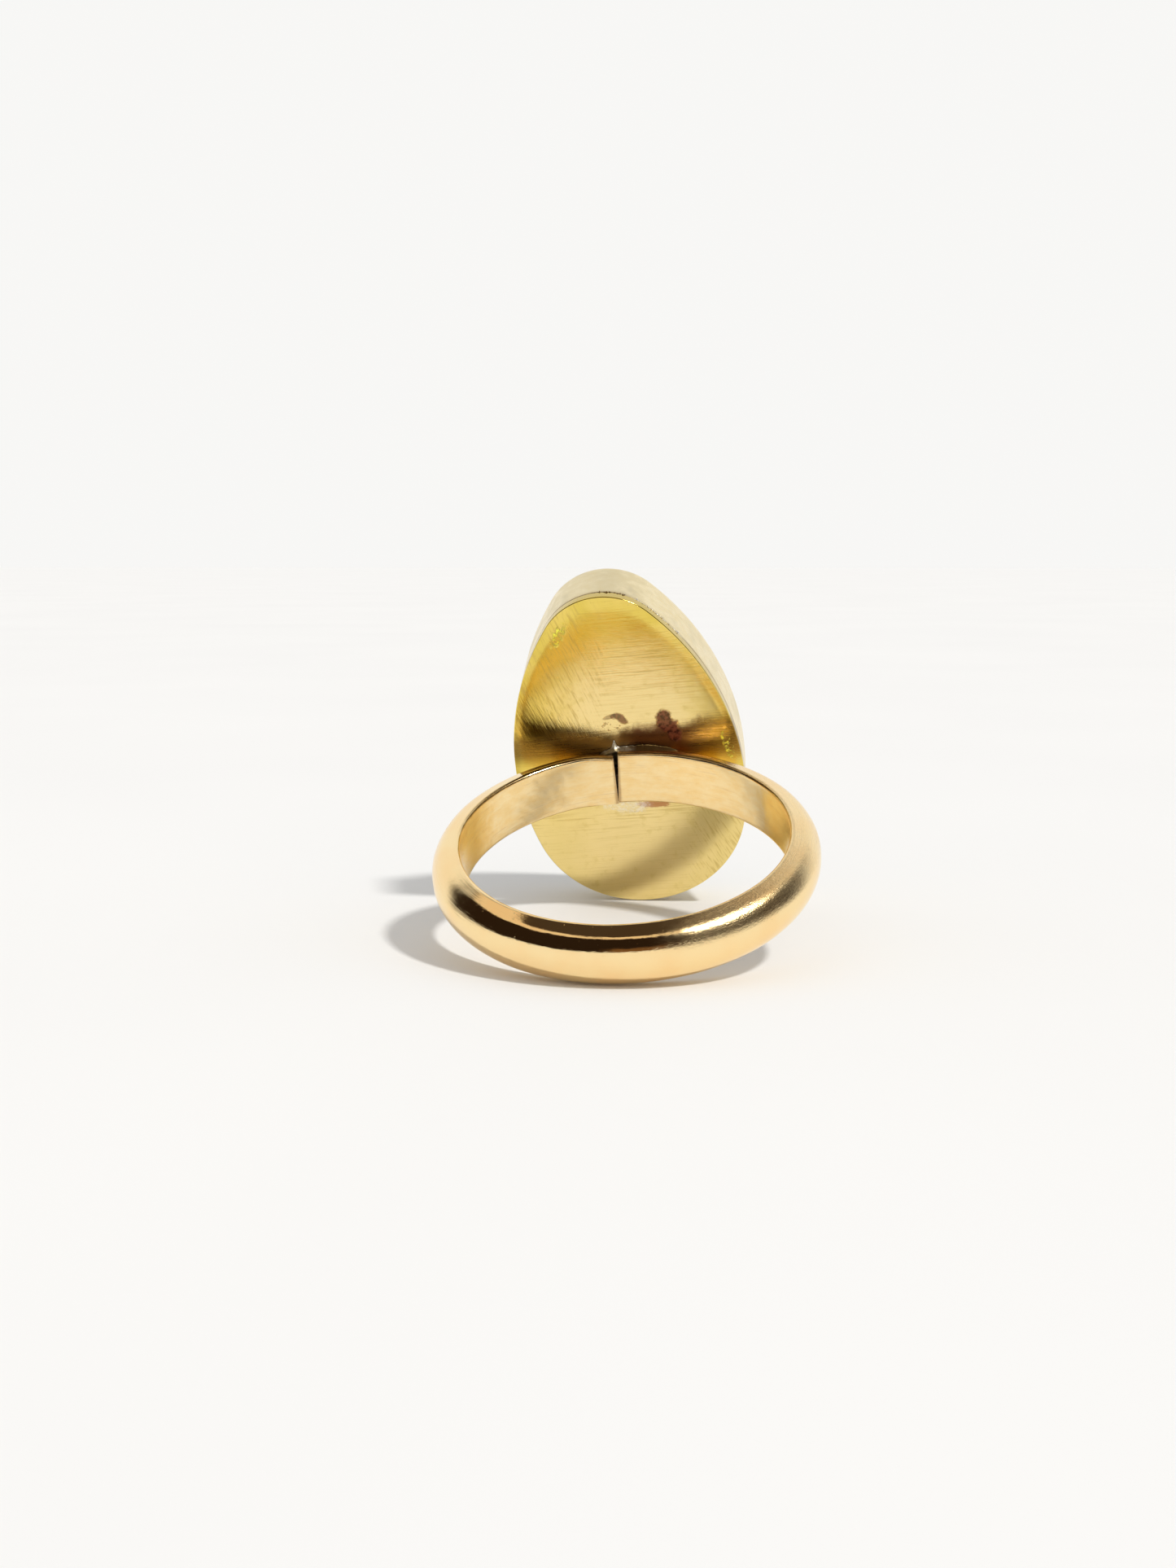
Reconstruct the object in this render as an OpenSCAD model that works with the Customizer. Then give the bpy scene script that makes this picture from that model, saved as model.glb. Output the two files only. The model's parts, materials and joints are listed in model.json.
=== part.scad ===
// Cocktail ring: a D-section shank soldered to an egg-shaped bezel cup that holds a cabochon stone.
// Millimetres. The origin is the centre of the finger hole, +Z is up, and the head points to +Y.
// The ring lies as it rests on a table, on the palm side of its shank and the lower end of its head.

/* [Shank] */
// Diameter of the finger hole
finger_bore = 17.3; // [14:0.1:23]
// Width of the shank along the finger
shank_width = 3.2; // [2.4:0.1:6]
// Thickness of the shank at the middle of its width
shank_thick = 1.6; // [1.2:0.05:2.5]
// How far the domed outside stands above the creases at its two sides
dome_rise = 0.45; // [0.1:0.05:0.8]
// How far each side face slopes in from the bore to its crease
side_slope = 0.25; // [0.05:0.05:0.6]
// Radius of the rounding along both edges of the bore
bore_edge_r = 0.25; // [0.1:0.05:0.4]
// Depth of the flat filed on the outside where the head is soldered
seat_flat = 0.15; // [0.05:0.05:0.3]

/* [Shank joint] */
// Angle from the middle of the head to the butt joint in the shank
joint_angle = 6.2; // [0:0.1:15]
// Width of the joint's gap at the upper edge of the shank
gap_top = 0.22; // [0.1:0.02:0.5]
// Width of the joint's gap at the lower edge of the shank
gap_bottom = 0.06; // [0.02:0.02:0.1]
// How much of the gap's height the solder fills, from below
gap_fill = 0.55; // [0.2:0.05:0.9]
// How far the solder in the gap stays back from the finger hole
gap_fill_back = 0.3; // [0.1:0.05:0.8]

/* [Head] */
// Length of the head from its big end to its small end
head_length = 19.9; // [15:0.1:26]
// Radius of the outline's big lower end
big_end_r = 6.3; // [5:0.1:8]
// Radius of the outline's small upper end
small_end_r = 3.8; // [2.5:0.1:4.9]
// Radius of the outline's long sides
side_r = 15.4; // [12:0.1:40]
// Lean of the head towards the joint side
head_lean = 7.5; // [0:0.5:20]
// How far the middle of the big end lies below the middle of the shank
big_end_drop = 2.9; // [0:0.1:5]
// Thickness of the back plate
plate_thick = 0.7; // [0.4:0.05:1.5]

/* [Bezel] */
// Thickness of the bezel strip
wall_thick = 0.55; // [0.3:0.05:0.9]
// Height of the bezel strip
wall_height = 4.0; // [2.8:0.05:7]
// How far the burnished lip leans in over the stone
lip_over = 0.4; // [0.2:0.05:0.8]
// Height of the burnished lip
lip_height = 0.5; // [0.3:0.05:1.2]
// Thickness of the lip at its edge
lip_edge = 0.22; // [0.1:0.02:0.4]
// Thickness of the film of solder between the plate and the bezel strip
solder_film = 0.08; // [0.04:0.01:0.15]
// Width of the soldered joint between the two ends of the bezel strip
strip_joint = 0.24; // [0.2:0.02:0.4]

/* [Bearer] */
// Height of the inner strip that the stone sits on
bearer_height = 1.4; // [0.6:0.05:2.5]
// Thickness of the inner strip
bearer_thick = 0.7; // [0.4:0.05:1.5]
// Width of the open butt gap in the inner strip
bearer_gap = 0.3; // [0.1:0.05:1]
// Clearance between the inner strip and the bezel
bearer_fit = 0.03; // [0.02:0.01:0.1]
// Size of the solder fillet at the foot of the inner strip
bearer_fillet = 0.3; // [0.1:0.05:0.5]

/* [Stone] */
// Clearance between the stone and the bezel
stone_clear = 0.08; // [0.03:0.01:0.2]
// Height of the dome above the edge of the lip
dome_height = 2.6; // [1:0.1:6]

/* [Rest] */
// Sideways roll that the ring settles to when it lies on a table
rest_roll = 2.5; // [0:0.5:8]

/* [Hidden] */

round_fn = 240;                                 // facets round a circle
dome_steps = 12;                                // flats across the shank's domed outside
edge_steps = 4;                                 // flats round each edge of the bore
outline_steps = 90;                             // points round the head's outline
stone_rings = 9;                                // rings from the stone's shoulder to its top

// Shank
bore_r = finger_bore / 2;
outer_r = bore_r + shank_thick;
crease_r = outer_r - dome_rise;                 // where a side face meets the dome
crease_z = shank_width / 2 - side_slope;
dome_r = (crease_z * crease_z + dome_rise * dome_rise) / (2 * dome_rise);
dome_half_angle = asin(crease_z / dome_r);
plate_y = outer_r - seat_flat;                  // the plane where the head touches the shank
spare = 1;                                      // how far a cutting shape overshoots

// Outline of the head: two end circles, joined by two long side arcs that touch both
end_gap = head_length - big_end_r - small_end_r;
big_reach = side_r - big_end_r;
small_reach = side_r - small_end_r;
side_y = (big_reach * big_reach - small_reach * small_reach + end_gap * end_gap) / (2 * end_gap);
side_x = sqrt(big_reach * big_reach - side_y * side_y);
big_join = atan2(-side_y, side_x);              // directions in which the arcs meet
small_join = atan2(end_gap - side_y, side_x);
outline_mid = (end_gap + small_end_r - big_end_r) / 2;

// Levels in the head, counted from the back of the plate
wall_base = plate_thick + solder_film;
lip_level = wall_base + wall_height - lip_height;
rim_level = wall_base + wall_height;
bearer_top = plate_thick + bearer_height;
wall_in = -wall_thick;                          // inside face of the bezel, as growth of the outline
bearer_out = wall_in - bearer_fit;
bearer_in = bearer_out - bearer_thick;
shoulder = lip_over + stone_clear;              // bevel round the stone, under the lip
shoulder_level = lip_level - stone_clear;
seam_half = strip_joint / 2 / (big_end_r - wall_thick) * 180 / PI;
bearer_half = bearer_gap / 2 / (big_end_r - wall_thick) * 180 / PI;
small_top = 90;                                 // direction of the small end
big_bottom = 270;                               // direction of the big end

// Solder between the shank and the plate
puddle_r = 3.0;                                 // how far it creeps along the plate
puddle_depth = 0.3;                             // how deep it fills the wedge beside the flat
pool_r = 1.2;                                   // the pool that ran out below the shank
pool_depth = 0.16;
pool_x = -0.4;
bead_r = 0.42;                                  // the bead left at the top of the joint
joint_x = -plate_y * tan(joint_angle);

// Tilt at which both the shank's lower crease and the plate's lower edge touch the table
low_arm = (big_end_drop - crease_z) * cos(rest_roll) + big_end_r;
tilt_a = crease_r * crease_r - plate_y * plate_y;
tilt_b = 2 * low_arm * plate_y;
tilt_c = pow(crease_r * sin(rest_roll), 2) - low_arm * low_arm;
rest_tilt = atan(-2 * tilt_c / (tilt_b + sqrt(tilt_b * tilt_b - 4 * tilt_a * tilt_c)));

// Point of the head's outline where it faces direction a, with the outline grown by g
function outline_point(a, g) =
    let (d = (a + 360) % 360, m = d > 90 && d < 270 ? -1 : 1)
    let (r = m < 0 ? 180 - d : d > 180 ? d - 360 : d)
    r >= small_join ? [(small_end_r + g) * cos(d), end_gap + (small_end_r + g) * sin(d)]
    : r <= big_join ? [(big_end_r + g) * cos(d), (big_end_r + g) * sin(d)]
    : [-m * side_x + (side_r + g) * cos(d), side_y + (side_r + g) * sin(d)];

function outline(g) = [for (i = [0 : outline_steps - 1]) outline_point(i * 360 / outline_steps, g)];

// Half of the shank's section, from the bore's edge over the side face and the dome
function section_top() = [
    for (i = [0 : edge_steps]) let (t = i * 90 / edge_steps)
        [bore_r + bore_edge_r * (1 - cos(t)), shank_width / 2 - bore_edge_r * (1 - sin(t))],
    for (i = [0 : dome_steps / 2 - 1]) let (t = dome_half_angle * (1 - 2 * i / dome_steps))
        [outer_r - dome_r * (1 - cos(t)), dome_r * sin(t)]
];

function section() =
    let (top = section_top(), n = len(top))
    concat(top, [[outer_r, 0]], [for (i = [n - 1 : -1 : 0]) [top[i].x, -top[i].y]]);

module rest_pose() {
    rotate([rest_tilt, 0, 0]) rotate([0, -rest_roll, 0]) children();
}

// Places the head: its outline stands upright, and its levels count away from the shank
module head_pose() {
    rest_pose() translate([0, plate_y, -big_end_drop]) rotate([0, -head_lean, 0]) children();
}

module whole_band() {
    rotate_extrude($fn = round_fn) polygon(section());
}

// A wedge through the shank at its joint, wide at the top and narrow at the bottom
module joint_wedge(low, high, r_from, r_to) {
    rise = (gap_top - gap_bottom) / shank_width;
    width_low = gap_bottom + rise * (low + shank_width / 2);
    width_high = gap_bottom + rise * (high + shank_width / 2);
    rotate([0, 0, joint_angle]) translate([0, r_to, 0]) rotate([90, 0, 0])
        linear_extrude(r_to - r_from) polygon([
            [-width_low / 2, low], [width_low / 2, low],
            [width_high / 2, high], [-width_high / 2, high]
        ]);
}

// The band as it meets the head: filed flat, with its open joint
module band_at_head() {
    difference() {
        whole_band();
        translate([-outer_r, plate_y, -shank_width]) cube([2 * outer_r, outer_r, 2 * shank_width]);
        joint_wedge(-shank_width / 2, shank_width / 2, bore_r - spare, outer_r + spare);
    }
}

// A strip that follows the outline: its section is a list of [growth, level], between two directions
module outline_strip(rows, from, to) {
    step = 360 / outline_steps;
    directions = concat([from], [for (i = [floor(from / step) + 1 : ceil(to / step) - 1]) i * step], [to]);
    steps = len(directions) - 1;
    k = len(rows);
    points = [for (d = directions, row = rows)
        let (p = outline_point(d, row[0])) [p.x, row[1], p.y]];
    sides = [for (i = [0 : steps - 1], j = [0 : k - 1])
        let (a = i * k + j, b = i * k + (j + 1) % k) each [[a, a + k, b], [b, a + k, b + k]]];
    // The section's outside and inside run level with each other, so triangles between them fill an end
    end = [for (j = [0 : ceil(k / 2) - 2]) each concat(
        [[j, j + 1, k - 1 - j]], j + 1 < k - 2 - j ? [[j + 1, k - 2 - j, k - 1 - j]] : [])];
    last = steps * k * [1, 1, 1];
    ends = concat(end, [for (t = end) [t[2], t[1], t[0]] + last]);
    polyhedron(points, concat(sides, ends), convexity = 6);
}

module shank() {
    color("#e2a779") rest_pose() band_at_head();
}

module shank_seam_solder() {
    color("#d9d5cc") rest_pose() intersection() {
        joint_wedge(-shank_width / 2, shank_width * (gap_fill - 0.5), bore_r + gap_fill_back, plate_y);
        whole_band();
    }
}

module head_joint_solder() {
    color("#d0ccc2") rest_pose() difference() {
        union() {
            intersection() {
                translate([0, plate_y, 0]) rotate([90, 0, 0])
                    cylinder(r = puddle_r, h = puddle_depth, $fn = round_fn);
                translate([-puddle_r, plate_y - puddle_depth, -crease_z])
                    cube([2 * puddle_r, puddle_depth, 2 * crease_z]);
            }
            translate([pool_x, plate_y, -crease_z]) rotate([90, 0, 0])
                cylinder(r = pool_r, h = pool_depth, $fn = round_fn);
            translate([joint_x, plate_y, shank_width / 2]) sphere(r = bead_r, $fn = round_fn);
        }
        band_at_head();
        joint_wedge(-shank_width / 2, shank_width / 2, bore_r, plate_y + spare);
        translate([-outer_r, plate_y, -outer_r]) cube(2 * outer_r);
    }
}

module back_plate() {
    color("#c9b26a") head_pose() translate([0, plate_thick, 0]) rotate([90, 0, 0])
        linear_extrude(plate_thick) polygon(outline(0));
}

module bezel_base_solder() {
    color("#d8cfa6") head_pose() translate([0, wall_base, 0]) rotate([90, 0, 0])
        linear_extrude(solder_film) difference() {
            polygon(outline(0));
            polygon(outline(wall_in));
        }
}

// Section of the bezel strip, with its edge burnished in over the stone
bezel_rows = [[0, wall_base], [0, lip_level], [-lip_over / 2, rim_level - lip_edge], [-lip_over, rim_level],
              [-lip_over - lip_edge, rim_level], [wall_in - lip_over, rim_level - lip_edge],
              [wall_in, lip_level], [wall_in, wall_base]];

module bezel_wall() {
    color("#d8bd74") head_pose()
        outline_strip(bezel_rows, big_bottom + seam_half, big_bottom + 360 - seam_half);
}

module bezel_seam_solder() {
    color("#d9d5cc") head_pose() outline_strip(bezel_rows, big_bottom - seam_half, big_bottom + seam_half);
}

module bearer() {
    rows = [[bearer_out, plate_thick], [bearer_out, bearer_top],
            [bearer_in, bearer_top], [bearer_in, plate_thick]];
    color("#cdb46e") head_pose()
        outline_strip(rows, small_top + bearer_half, small_top + 360 - bearer_half);
}

module bearer_solder() {
    rows = [[bearer_in, plate_thick], [bearer_in, plate_thick + bearer_fillet],
            [bearer_in - bearer_fillet, plate_thick]];
    color("#d0ccc2") head_pose()
        outline_strip(rows, small_top + bearer_half, small_top + 360 - bearer_half);
}

// A cabochon: a straight girdle, a bevelled shoulder under the lip, and a dome that closes in one point
module stone() {
    n = outline_steps;
    girdle = wall_in - stone_clear;
    shoulder_outline = outline(girdle - shoulder);
    levels = [for (i = [0 : stone_rings - 1]) let (t = i * 90 / stone_rings)
        [cos(t), shoulder_level + (rim_level + dome_height - shoulder_level) * sin(t)]];
    points = concat(
        [for (p = outline(girdle)) [p.x, bearer_top, p.y]],
        [for (p = outline(girdle)) [p.x, shoulder_level - shoulder, p.y]],
        [for (v = levels, p = shoulder_outline)
            [p.x * v[0], v[1], outline_mid + (p.y - outline_mid) * v[0]]],
        [[0, rim_level + dome_height, outline_mid]]
    );
    rings = stone_rings + 2;
    faces = concat(
        [[for (i = [n - 1 : -1 : 0]) i]],
        [for (j = [0 : rings - 2], i = [0 : n - 1]) let (a = j * n + i, b = j * n + (i + 1) % n)
            each [[a, b, a + n], [b, b + n, a + n]]],
        [for (i = [0 : n - 1]) let (last = (rings - 1) * n) [last + i, last + (i + 1) % n, rings * n]]
    );
    color("#6f8f86") head_pose() polyhedron(points, faces, convexity = 2);
}

shank();
shank_seam_solder();
head_joint_solder();
back_plate();
bezel_base_solder();
bezel_wall();
bezel_seam_solder();
bearer();
bearer_solder();
stone();
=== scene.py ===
import json
import math

import bmesh
import bpy
from mathutils import Matrix, Vector, noise


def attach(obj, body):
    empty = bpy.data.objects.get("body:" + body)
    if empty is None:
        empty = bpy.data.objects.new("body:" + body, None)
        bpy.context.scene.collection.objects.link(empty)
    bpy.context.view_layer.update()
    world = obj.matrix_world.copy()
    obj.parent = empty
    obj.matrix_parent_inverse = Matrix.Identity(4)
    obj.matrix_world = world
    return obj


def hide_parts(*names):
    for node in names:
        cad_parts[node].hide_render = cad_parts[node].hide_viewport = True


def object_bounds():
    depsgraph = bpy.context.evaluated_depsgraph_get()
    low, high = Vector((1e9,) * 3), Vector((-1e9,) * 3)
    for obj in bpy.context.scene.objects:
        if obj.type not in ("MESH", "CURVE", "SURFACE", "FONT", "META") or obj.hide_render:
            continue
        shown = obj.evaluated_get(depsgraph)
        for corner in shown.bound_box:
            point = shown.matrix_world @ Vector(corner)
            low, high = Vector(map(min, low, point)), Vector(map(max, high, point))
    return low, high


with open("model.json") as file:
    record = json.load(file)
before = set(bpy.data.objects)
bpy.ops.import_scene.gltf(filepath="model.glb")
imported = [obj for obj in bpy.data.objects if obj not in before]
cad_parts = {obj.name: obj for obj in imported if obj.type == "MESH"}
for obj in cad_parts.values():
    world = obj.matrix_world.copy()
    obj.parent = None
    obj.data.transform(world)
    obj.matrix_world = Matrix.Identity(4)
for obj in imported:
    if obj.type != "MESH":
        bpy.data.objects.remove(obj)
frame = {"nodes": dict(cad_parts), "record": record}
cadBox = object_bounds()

mm = 0.001
inside = 0.002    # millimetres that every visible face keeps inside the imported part's own
sharpAngle = 50   # degrees between faces past which an edge is shaded sharp
nodes = frame["nodes"]


# where things are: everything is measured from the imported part
hole = next(m for m in frame["record"]["mounts"] if m["name"] == "finger_hole")
holeAxis = hole["axis"]
rollAngle = math.asin(-holeAxis[0])
tiltAngle = math.atan2(-holeAxis[1], holeAxis[2])
# ringPose takes the ring's own frame (finger along Z, head towards Y) to the way it lies on the table
ringPose = Matrix.Rotation(tiltAngle, 4, "X") @ Matrix.Rotation(-rollAngle, 4, "Y")


def measured(node, pose):
    # a node's corners in millimetres, seen in the frame of that pose
    back = pose.inverted()
    return [back @ v.co / mm for v in nodes[node].data.vertices]


def span(points, axis):
    values = [p[axis] for p in points]
    return min(values), max(values)


def longAxisLean(points):
    # how far the outline leans from upright, from its second moments
    flat = {(round(p.x, 3), round(p.z, 3)) for p in points}
    midX = sum(x for x, z in flat) / len(flat)
    midZ = sum(z for x, z in flat) / len(flat)
    xx = sum((x - midX) ** 2 for x, z in flat)
    zz = sum((z - midZ) ** 2 for x, z in flat)
    xz = sum((x - midX) * (z - midZ) for x, z in flat)
    return 0.5 * math.atan2(-2 * xz, zz - xx)


platePoints = measured("back_plate", ringPose)
plateBack = span(platePoints, 1)[0]
headLean = longAxisLean(platePoints)
leanTurn = Matrix.Rotation(-headLean, 4, "Y")
upright = [leanTurn.inverted() @ p for p in platePoints]
headFoot, headTop = span(upright, 2)
headSides = span(upright, 0)
headLength = headTop - headFoot
headMiddle = leanTurn @ Vector((sum(headSides) / 2, 0, (headFoot + headTop) / 2))
headMiddle.y = plateBack
# headPose: x across the head, y up along it, and levels count away from the shank along -z
headPose = ringPose @ Matrix.Translation(headMiddle * mm) @ leanTurn @ Matrix.Rotation(math.pi / 2, 4, "X")


def level(points):
    low, high = span(points, 2)
    return -high, -low


plateThick = level(measured("back_plate", headPose))[1]
wallBase, rimLevel = level(measured("bezel_wall", headPose))
stoneFoot, stoneTop = level(measured("stone", headPose))
boreRadius = hole["dims"]["r_mm"]
shankPoints = measured("shank", ringPose)
outerRadius = max(math.hypot(p.x, p.y) for p in shankPoints)
shankWidth = 2 * span(shankPoints, 2)[1]
print("measured: bore", boreRadius, "outside", round(outerRadius, 3), "head", round(headLength, 3),
      "lean", round(math.degrees(headLean), 2), "levels", round(plateThick, 3), round(wallBase, 3),
      round(rimLevel, 3), round(stoneTop, 3))


def bend(start, corner, end, steps):
    # a rounded corner, as a quadratic curve without its end point
    points = []
    for i in range(steps):
        t = i / steps
        points.append(tuple((1 - t) ** 2 * a + 2 * t * (1 - t) * b + t * t * c
                            for a, b, c in zip(start, corner, end)))
    return points


def smoothStep(low, high, value):
    t = min(1, max(0, (value - low) / (high - low)))
    return t * t * (3 - 2 * t)


def added(name, data):
    obj = bpy.data.objects.new(name, data)
    bpy.context.scene.collection.objects.link(obj)
    return obj


def drawnCurve(name, points, closed):
    curve = bpy.data.curves.new(name, "CURVE")
    curve.dimensions = "3D"
    spline = curve.splines.new("POLY")
    spline.points.add(len(points) - 1)
    for target, point in zip(spline.points, points):
        target.co = (*point, 1) if len(point) == 3 else (*point, 0, 1)
    spline.use_cyclic_u = closed
    return added(name, curve)


def placedPiece(name, mesh, pose, material):
    # the mesh comes in millimetres in the frame of that pose
    mesh.transform(pose @ Matrix.Scale(mm, 4))
    grid = bmesh.new()
    grid.from_mesh(mesh)
    bmesh.ops.remove_doubles(grid, verts=grid.verts, dist=0.0005 * mm)
    bmesh.ops.dissolve_degenerate(grid, edges=grid.edges, dist=0.0002 * mm)
    bmesh.ops.recalc_face_normals(grid, faces=grid.faces)
    grid.to_mesh(mesh)
    grid.free()
    mesh.name = name
    mesh.materials.clear()
    mesh.materials.append(material)
    for face in mesh.polygons:
        face.use_smooth = True
        face.material_index = 0
    mesh.set_sharp_from_angle(angle=math.radians(sharpAngle))
    print("piece", name, len(mesh.polygons), "faces")
    return added(name, mesh)


class Graph:
    # a node tree, with short ways to add nodes and links to it
    def __init__(self, tree):
        self.tree = tree

    def node(self, kind, **settings):
        made = self.tree.nodes.new(kind)
        for key, value in settings.items():
            setattr(made, key, value)
        return made

    def join(self, source, target):
        self.tree.links.new(source, target)


class PieceGraph(Graph):
    # a Geometry Nodes tree; each input is (label, kind of socket, starting value)
    def __init__(self, name, inputs):
        super().__init__(bpy.data.node_groups.new(name, "GeometryNodeTree"))
        face = self.tree.interface
        for label, kind, start in inputs:
            entry = face.new_socket(label, in_out="INPUT", socket_type="NodeSocket" + kind)
            if start is not None:
                entry.default_value = start
        face.new_socket("Geometry", in_out="OUTPUT", socket_type="NodeSocketGeometry")
        self.given = self.node("NodeGroupInput").outputs

    def drawn(self, label):
        # the curve of the object that was given under that label
        found = self.node("GeometryNodeObjectInfo")
        self.join(self.given[label], found.inputs["Object"])
        return found.outputs["Geometry"]

    def moved(self, geometry, direction, distance):
        step = self.node("ShaderNodeVectorMath", operation="SCALE")
        self.join(direction, step.inputs[0])
        self.join(distance, step.inputs["Scale"])
        made = self.node("GeometryNodeSetPosition")
        self.join(geometry, made.inputs["Geometry"])
        self.join(step.outputs[0], made.inputs["Offset"])
        return made.outputs["Geometry"]

    def dressed(self, geometry):
        plain = self.node("GeometryNodeRealizeInstances")
        self.join(geometry, plain.inputs["Geometry"])
        made = self.node("GeometryNodeSetMaterial")
        self.join(plain.outputs["Geometry"], made.inputs["Geometry"])
        self.join(self.given["Metal"], made.inputs["Material"])
        self.join(made.outputs["Geometry"], self.node("NodeGroupOutput").inputs["Geometry"])
        return self.tree


def sweepTree():
    # a section carried along a path, a little uneven as handwork is
    g = PieceGraph("sweptMetal", (
        ("Path", "Object", None), ("Section", "Object", None), ("Unevenness", "Float", 0.0),
        ("Wave Length", "Float", 4.0), ("Closed Ends", "Bool", True), ("Seed", "Float", 1.0),
        ("Metal", "Material", None)))
    standing = g.node("GeometryNodeSetCurveNormal", mode="Z_UP")
    g.join(g.drawn("Path"), standing.inputs["Curve"])
    carried = g.node("GeometryNodeCurveToMesh")
    g.join(standing.outputs["Curve"], carried.inputs["Curve"])
    g.join(g.drawn("Section"), carried.inputs["Profile Curve"])
    g.join(g.given["Closed Ends"], carried.inputs["Fill Caps"])
    perLength = g.node("ShaderNodeMath", operation="DIVIDE")
    perLength.inputs[0].default_value = 1
    g.join(g.given["Wave Length"], perLength.inputs[1])
    waves = g.node("ShaderNodeTexNoise", noise_dimensions="4D")
    g.join(g.node("GeometryNodeInputPosition").outputs[0], waves.inputs["Vector"])
    g.join(g.given["Seed"], waves.inputs["W"])
    g.join(perLength.outputs[0], waves.inputs["Scale"])
    waves.inputs["Detail"].default_value = 1.0
    # the noise runs from 0 to 1, and is made to run from -1 to 1
    centred = g.node("ShaderNodeMath", operation="MULTIPLY_ADD")
    g.join(waves.outputs[0], centred.inputs[0])
    centred.inputs[1].default_value = 2
    centred.inputs[2].default_value = -1
    amount = g.node("ShaderNodeMath", operation="MULTIPLY")
    g.join(centred.outputs[0], amount.inputs[0])
    g.join(g.given["Unevenness"], amount.inputs[1])
    outwards = g.node("GeometryNodeInputNormal").outputs[0]
    return g.dressed(g.moved(carried.outputs["Mesh"], outwards, amount.outputs[0]))


def nodesMesh(name, tree, values):
    # runs a Geometry Nodes tree on an empty holder and gives back its plain mesh
    holder = added(name + "Holder", bpy.data.meshes.new(name + "Holder"))
    modifier = holder.modifiers.new("nodes", "NODES")
    modifier.node_group = tree
    for item in tree.interface.items_tree:
        if item.item_type == "SOCKET" and item.in_out == "INPUT" and item.name in values:
            modifier[item.identifier] = values[item.name]
    depsgraph = bpy.context.evaluated_depsgraph_get()
    mesh = bpy.data.meshes.new_from_object(holder.evaluated_get(depsgraph), depsgraph=depsgraph)
    holder.modifiers.remove(modifier)
    bpy.data.objects.remove(holder)
    return mesh


sweep = sweepTree()


def sweptMesh(name, path, closedPath, section, sizes, material):
    # the path lies flat; a section point is (how far out from the path, how far along Z)
    rail = drawnCurve(name + "Path", path, closedPath)
    shape = drawnCurve(name + "Section", [(out, -z) for out, z in section], True)
    mesh = nodesMesh(name, sweep, {
        "Path": rail, "Section": shape, "Unevenness": sizes["unevenness"],
        "Wave Length": sizes["waveLength"], "Closed Ends": not closedPath, "Seed": sizes["seed"],
        "Metal": material})
    for helper in (rail, shape):
        bpy.data.objects.remove(helper)
    return mesh


class Value:
    # an output socket that can be used in a Python expression
    def __init__(self, owner, socket):
        self.owner = owner
        self.socket = socket

    def maths(self, operation, *others):
        return self.owner.maths(operation, self, *others)

    def __add__(self, other):
        return self.maths("ADD", other)

    __radd__ = __add__

    def __sub__(self, other):
        return self.maths("SUBTRACT", other)

    def __rsub__(self, other):
        return self.owner.maths("SUBTRACT", other, self)

    def __mul__(self, other):
        return self.maths("MULTIPLY", other)

    __rmul__ = __mul__

    def __truediv__(self, other):
        return self.maths("DIVIDE", other)

    def __rtruediv__(self, other):
        return self.owner.maths("DIVIDE", other, self)

    def __abs__(self):
        return self.maths("ABSOLUTE")


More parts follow.
